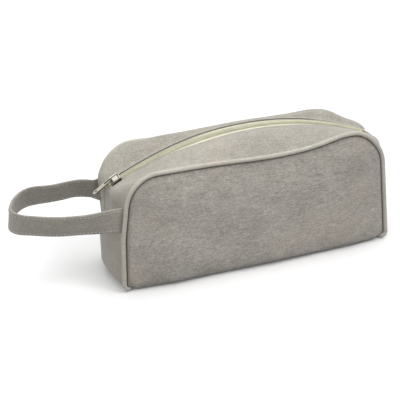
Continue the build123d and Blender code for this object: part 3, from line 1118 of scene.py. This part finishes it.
def coil(name, side, node):
    """One row of turns, each a small ring squashed across the zip."""
    bpy.ops.object.select_all(action="DESELECT")
    bpy.ops.mesh.primitive_torus_add(major_segments=12, minor_segments=6, major_radius=ring_radius,
                                     minor_radius=wire_radius)
    ring = added(name)
    stop = math.degrees(stop_length / arc_radius)
    first, last = left_angle + stop, right_angle - stop
    step_angle = math.degrees(coil_pitch / arc_radius)
    count = int((last - first) / step_angle)
    base = [v.co.copy() for v in ring.data.vertices]
    faces = [tuple(p.vertices) for p in ring.data.polygons]
    points, polygons = [], []
    for k in range(count):
        angle = first + step_angle * (k + (0.5 if side > 0 else 0.0))
        a = math.radians(angle)
        start = len(points)
        for co in base:
            along = co.z * ring_length + co.y * ring_lean
            across = side * (ring_across + co.x * ring_width)
            height = ring_height + co.y * ring_rise
            centre = on_arc(arc_radius, angle) * mm
            points.append((centre.x + along * math.cos(a) + height * math.sin(a), across,
                           centre.z - along * math.sin(a) + height * math.cos(a)))
        polygons += [tuple(start + i for i in f) for f in faces]
    rebuilt(ring, points, polygons)
    finish_with(ring, coil_nylon)
    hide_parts(node)
    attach(ring, "bag")
    return count


turns = coil("coil_front_turns", -1, "coil_front") + coil("coil_back_turns", 1, "coil_back")
print("turns of the coil:", turns)


# %% [markdown]
# ## End tabs
# Past each end of the zip a small tab of cloth closes the gap between the two
# folded edges. Its line is the end of the folds' own line, and it starts a
# little under the tape.

# %% End tabs
tab_half_width = 6.4
tab_rows = 6
tab_overlap = 0.25                   # in degrees of the zip's arc
tab_over, tab_under = 1.8, 0.9
tab_thickness = 0.5


def end_tab(name, sign, node):
    """The cloth that closes the gap past an end of the zip."""
    angle = left_angle + tab_overlap if sign < 0 else right_angle - tab_overlap
    limit = on_arc(arc_radius + tab_over, left_angle if sign < 0 else right_angle).x
    path = [p for p in fold_outline() if sign * (p[0] - limit) > 0.3]
    under = on_arc(arc_radius - tab_under, angle)
    path = path + [(under.x, under.z)] if sign < 0 else [(under.x, under.z)] + path
    rows = []
    for j in range(tab_rows + 1):
        y = blend_value(-tab_half_width, tab_half_width, j / tab_rows)
        rows.append([Vector((p[0] - sign * 0.3, y, p[1] - 0.2)) for p in path])
    obj = skin(name, rows, Vector((0, 0, 40)), tab_thickness)
    finish_with(obj, gusset_leather)
    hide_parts(node)
    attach(obj, "bag")


end_tab("left_zip_tab_soft", -1, "left_zip_tab")
end_tab("right_zip_tab_soft", 1, "right_zip_tab")
print("end tabs:", 2 * tab_half_width, "mm wide")


# %% [markdown]
# ## Wrist strap
# The strap is a flat band in a loop, with both ends sewn into the seams. It
# is laid along the same line of arcs as the solid model, seen from above. The
# loop is carried a little higher than its roots, rises in three soft humps and
# leans over, as a worn strap does.

# %% The strap's line
strap_width = 23.4
strap_thickness = 3.0
strap_height = 69.5
strap_seat = gusset_half - strap_thickness / 2
strap_start = -124.0
strap_pivot = -146.0
sweeps = ((150.0, 24.0), (17.0, 81.0), (40.0, 35.0), (46.0, 56.0))


def strap_line(spacing=2.0):
    """Points and headings along the loop, from the front seam to the back seam.

    After the sweeps a last turn, the other way, brings the band level with its seat.
    """
    made = []
    x, y, heading = strap_start, -strap_seat, 180.0
    made.append((x, y, heading))

    def straight(x, y, heading, length):
        count = max(int(length / spacing), 1)
        for k in range(1, count + 1):
            d = length * k / count
            a = math.radians(heading)
            made.append((x + d * math.cos(a), y + d * math.sin(a), heading))
        return made[-1]

    def turn(x, y, heading, radius, angle, way=1):
        count = max(int(radius * math.radians(angle) / spacing), 3)
        for k in range(1, count + 1):
            h0, h1 = math.radians(heading), math.radians(heading - way * angle * k / count)
            made.append((x + way * radius * (math.sin(h0) - math.sin(h1)),
                         y + way * radius * (math.cos(h1) - math.cos(h0)), math.degrees(h1)))
        return made[-1]

    x, y, heading = straight(x, y, heading, strap_start - strap_pivot)
    for radius, angle in sweeps:
        x, y, heading = turn(x, y, heading, radius, angle)
    drop = y - strap_seat
    radius = drop / (1 - math.cos(math.radians(heading)))
    x, y, heading = turn(x, y, heading, radius, abs(heading), way=-1 if heading < 0 else 1)
    straight(x, y, heading, strap_start - x)
    return made


line = strap_line()
print("strap loop:", round(sum(math.dist(a[:2], b[:2]) for a, b in zip(line, line[1:]))), "mm long")
print("strap's last point:", [round(v, 1) for v in line[-1]])


# %% The strap
strap_lift = 3.4
first_hump = (1.8, 0.42, 0.09)                       # height in mm, place and width as shares
later_humps = ((4.4, 0.67, 0.11), (6.6, 0.89, 0.085))
front_tilt, back_tilt = -19, -24                     # in degrees
strap_edge = 1.1                                     # how wide the rounded edges are
edge_thinning, edge_fullness = 0.10, 0.9
ripple_height = 0.4


def ripple_at(share):
    """How far the band's middle waves in and out."""
    return noise.noise(Vector((share * 9, 0.2, 40.0))) * ripple_height


def strap_point(x, y, heading, share, across, out):
    """A point of the strap: share along the loop, across its width, out from its middle layer."""
    a = math.radians(heading)
    back = step((share - 0.55) / 0.3)
    seat = step(min(share, 1 - share) * blend_value(5, 20, back))
    raised = humps(share, strap_lift * math.sin(math.pi * min(share * 1.1, 1.0)), (first_hump,))
    raised += humps(share, 0.0, later_humps)
    tilt = math.radians(blend_value(front_tilt, back_tilt, back) * math.cos(a) * seat)
    z = strap_height + raised + across * math.cos(tilt)
    offset = out + across * math.sin(tilt)
    return Vector((x + math.sin(a) * -offset, y + math.cos(a) * offset, z))


def strap_solid(name):
    """A closed band: a ring of points round the strap's section is carried along the line."""
    section = []
    half_t = strap_thickness / 2
    flat = strap_width / 2 - strap_edge
    for way in (1, -1):
        for k in range(9):
            v = way * (-1 + 2 * k / 8)
            section.append((v * flat, way * half_t * (1 - edge_thinning * v * v)))
        for k in range(1, 6):
            a = way * math.pi / 2 - math.pi * k / 6
            section.append((way * flat + strap_edge * math.cos(a), half_t * edge_fullness * math.sin(a)))
    bpy.ops.object.select_all(action="DESELECT")
    bpy.ops.mesh.primitive_cylinder_add(vertices=len(section), radius=0.01, depth=0.02)
    obj = added(name)
    ring = len(section)
    points, faces = [], []
    for k, (x, y, heading) in enumerate(line):
        share = k / (len(line) - 1)
        ripple = ripple_at(share)
        points += [strap_point(x, y, heading, share, a, o + ripple) * mm for a, o in section]
    for k in range(len(line) - 1):
        for i in range(ring):
            a, b = k * ring + i, k * ring + (i + 1) % ring
            faces.append((a, b, b + ring, a + ring))
    faces.append(tuple(range(ring)))
    faces.append(tuple(len(points) - ring + i for i in range(ring)))
    return rebuilt(obj, points, faces)


band = strap_solid("wrist_strap")
finish_with(band, strap_leather)
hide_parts("strap_outer", "strap_core", "strap_inner", "strap_front_anchor", "strap_back_anchor")
print("points on the strap:", len(band.data.vertices))


# %% [markdown]
# ## Stitches
# Two rows of thread hold the strap's layers together and show on both faces.
# Each stitch is one small grain, a squashed sphere, and all of them are one
# mesh. The grains ride on the strap's own formula, so they follow each hump.

# %% Stitches along the strap
stitch_pitch = 3.3
stitch_length = 2.3
stitch_inset = 2.6
stitch_half_width, stitch_half_height = 0.3, 0.26
first_stitch = 4.0


def stitches(name):
    """Both rows on both faces of the strap, each stitch a small grain of thread."""
    bpy.ops.object.select_all(action="DESELECT")
    bpy.ops.mesh.primitive_ico_sphere_add(subdivisions=2, radius=1.0)
    grain = added(name)
    base = [v.co.copy() for v in grain.data.vertices]
    faces = [tuple(p.vertices) for p in grain.data.polygons]
    lengths = [0.0]
    for a, b in zip(line, line[1:]):
        lengths.append(lengths[-1] + math.dist(a[:2], b[:2]))
    points, polygons, count = [], [], 0
    for row in (-1, 1):
        across = row * (strap_width / 2 - stitch_inset)
        for face in (-1, 1):
            s = first_stitch
            while s < lengths[-1] - first_stitch:
                k = max(i for i, v in enumerate(lengths) if v <= s)
                t = (s - lengths[k]) / (lengths[k + 1] - lengths[k])
                x, y, h = (blend_value(line[k][i], line[k + 1][i], t) for i in range(3))
                share = (k + t) / (len(line) - 1)
                lying = face * (strap_thickness / 2 * 0.95 + 0.02) + ripple_at(share)
                a = math.radians(h)
                start = len(points)
                for co in base:
                    along = co.x * stitch_length / 2
                    out = lying + co.z * stitch_half_height
                    p = strap_point(x, y, h, share, across + co.y * stitch_half_width, out)
                    points.append((p + Vector((math.cos(a), math.sin(a), 0)) * along) * mm)
                polygons += [tuple(start + i for i in f) for f in faces]
                count += 1
                s += stitch_pitch
    rebuilt(grain, points, polygons)
    finish_with(grain, pale_thread)
    return grain, count


thread_rows, stitch_count = stitches("strap_stitches")
for piece in (band, thread_rows):
    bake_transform(piece)
print("stitches:", stitch_count)


# %% [markdown]
# ## Parts kept from the solid model
# The slider, its bail, the pull and the stops are metal, and their solids are
# right, so they only get their finish. The linings of the ends and the bottom
# lie inside, and get theirs too.

# %% Finishes for the kept parts
kept = {
    "slider_body": slider_nickel, "slider_bail": slider_nickel, "pull": shaded_pull_nickel,
    "top_stop_front": stop_nickel, "top_stop_back": stop_nickel, "bottom_stop": stop_nickel,
    "left_end_lining": lining_cloth, "right_end_lining": lining_cloth, "bottom_lining": lining_cloth,
}
for node, material in kept.items():
    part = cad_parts[node]
    if not part.material_slots:
        part.data.materials.append(material)
    for material_slot in part.material_slots:
        material_slot.material = material
print("kept parts:", len(kept))


# %% [markdown]
# ## Floor, light and camera
# The floor and the background are white, as in a studio. A white floor would
# throw too much light up at the bag, so the floor that lights it is a mid
# grey. Camera and glossy rays see a paler one instead, with a faint glow that
# grows with distance, so that it meets the white background without an edge.
# The bag's shadow still falls on it.

# %% Floor
floor_drop = 0.0002
dark_floor, light_floor = 0.43, 0.45
seen_white = 0.88
near_glow, far_glow = 0.035, 0.5
glow_start, glow_end = 0.30, 1.4


def grey(value):
    """A grey in linear values."""
    return (value, value, value, 1)


bpy.ops.object.select_all(action="DESELECT")
bpy.ops.mesh.primitive_plane_add(size=12.0, location=(0, 0, -floor_drop))
floor = added("floor")
floor_finish = Finish("floor_white")
floor_tone = floor_finish.noise(floor_finish.place(), 3.0)
floor_colour = floor_finish.ramp(floor_tone, [(0.3, grey(dark_floor)), (0.7, grey(light_floor))])
floor_finish.set(Base_Color=floor_colour, Roughness=0.9, Specular_IOR_Level=0.1)
tree = floor_finish.tree
seen_floor = tree.nodes.new("ShaderNodeBsdfDiffuse")
seen_floor.inputs["Color"].default_value = grey(seen_white)
lift = tree.nodes.new("ShaderNodeEmission")
lift.inputs["Color"].default_value = grey(1)
reach = floor_finish.node("ShaderNodeVectorMath", {"operation": "LENGTH"},
                          {0: floor_finish.place()}, output="Value")
strength = near_glow + far_glow * floor_finish.curve(reach, glow_start, glow_end)
tree.links.new(strength.socket, lift.inputs["Strength"])
both = tree.nodes.new("ShaderNodeAddShader")
tree.links.new(seen_floor.outputs[0], both.inputs[0])
tree.links.new(lift.outputs[0], both.inputs[1])
paths = tree.nodes.new("ShaderNodeLightPath")
camera_ray, glossy_ray = (Signal(floor_finish, paths.outputs[f"Is {kind} Ray"])
                          for kind in ("Camera", "Glossy"))
seen_rays = camera_ray + glossy_ray
choose = tree.nodes.new("ShaderNodeMixShader")
tree.links.new(seen_rays.socket, choose.inputs[0])
tree.links.new(floor_finish.shader.outputs[0], choose.inputs[1])
tree.links.new(both.outputs[0], choose.inputs[2])
tree.links.new(choose.outputs[0], tree.nodes["Material Output"].inputs["Surface"])
floor.data.materials.append(floor_finish.material)
print("floor size:", [round(v, 1) for v in floor.dimensions])


# %% [markdown]
# ## World and lamps
# The world lights the bag softly, more from above than from below, and looks
# plain white to camera and glossy rays. Three soft lamps shape it: a broad one
# above, one at the left, and a smaller one in front at the right.

# %% World
low_light, high_light = 0.20, 0.78
low_look, high_look = -0.1, 0.9     # the direction's height at which they hold
world = bpy.data.worlds.new("studio")
bpy.context.scene.world = world
world.use_nodes = True
world_tree = world.node_tree
background = world_tree.nodes["Background"]
background.inputs["Color"].default_value = (1.0, 1.0, 1.0, 1.0)
world_paths = world_tree.nodes.new("ShaderNodeLightPath")
direction = world_tree.nodes.new("ShaderNodeTexCoord")
parts = world_tree.nodes.new("ShaderNodeSeparateXYZ")
height = world_tree.nodes.new("ShaderNodeMapRange")
for socket, value in (("From Min", low_look), ("From Max", high_look),
                      ("To Min", low_light), ("To Max", high_light)):
    height.inputs[socket].default_value = value
choice = world_tree.nodes.new("ShaderNodeMix")
choice.inputs[3].default_value = 1.0
world_tree.links.new(direction.outputs["Generated"], parts.inputs[0])
world_tree.links.new(parts.outputs[2], height.inputs["Value"])
world_tree.links.new(height.outputs[0], choice.inputs[2])
seen = world_tree.nodes.new("ShaderNodeMath")
seen.operation = "MAXIMUM"
world_tree.links.new(world_paths.outputs["Is Camera Ray"], seen.inputs[0])
world_tree.links.new(world_paths.outputs["Is Glossy Ray"], seen.inputs[1])
world_tree.links.new(seen.outputs[0], choice.inputs[0])
world_tree.links.new(choice.outputs[0], background.inputs["Strength"])
print("nodes in the world:", len(world_tree.nodes))


# %% Lamps
def lamp(name, place, target, size, power):
    """A soft square lamp turned towards a point."""
    bpy.ops.object.select_all(action="DESELECT")
    bpy.ops.object.light_add(type="AREA", location=place)
    made = bpy.context.object
    made.name = name
    made.data.size = size
    made.data.energy = power
    made.rotation_euler = (Vector(target) - Vector(place)).to_track_quat("-Z", "Y").to_euler()
    return made


lamp("top_light", (0.1, 0.15, 1.5), (0, 0, 0.05), 1.3, 10.5)
lamp("left_light", (-1.0, -0.7, 1.0), (0, 0, 0.05), 0.9, 6.0)
lamp("front_light", (0.7, -0.9, 1.5), (0.05, 0, 0.07), 0.6, 9.5)
print("lamps:", len(bpy.data.lights))


# %% [markdown]
# ## Camera
# The camera stands in front of the bag's left end and looks down on it, with
# a long lens, as in a product photograph.

# %% Camera
bpy.ops.object.select_all(action="DESELECT")
bpy.ops.object.camera_add()
camera = bpy.context.object
camera.name = "camera"
camera_place = Vector((-0.4442, -0.9591, 0.588))
camera_target = Vector((-0.0436, -0.0015, 0.059))
camera.location = camera_place
camera.rotation_euler = (camera_target - camera_place).to_track_quat("-Z", "Y").to_euler()
camera.data.sensor_width = 36.0
camera.data.lens = 117.0
bpy.context.scene.camera = camera
bpy.context.scene.view_settings.view_transform = "Standard"
print("camera to bag:", round((camera_target - camera_place).length, 2), "m")
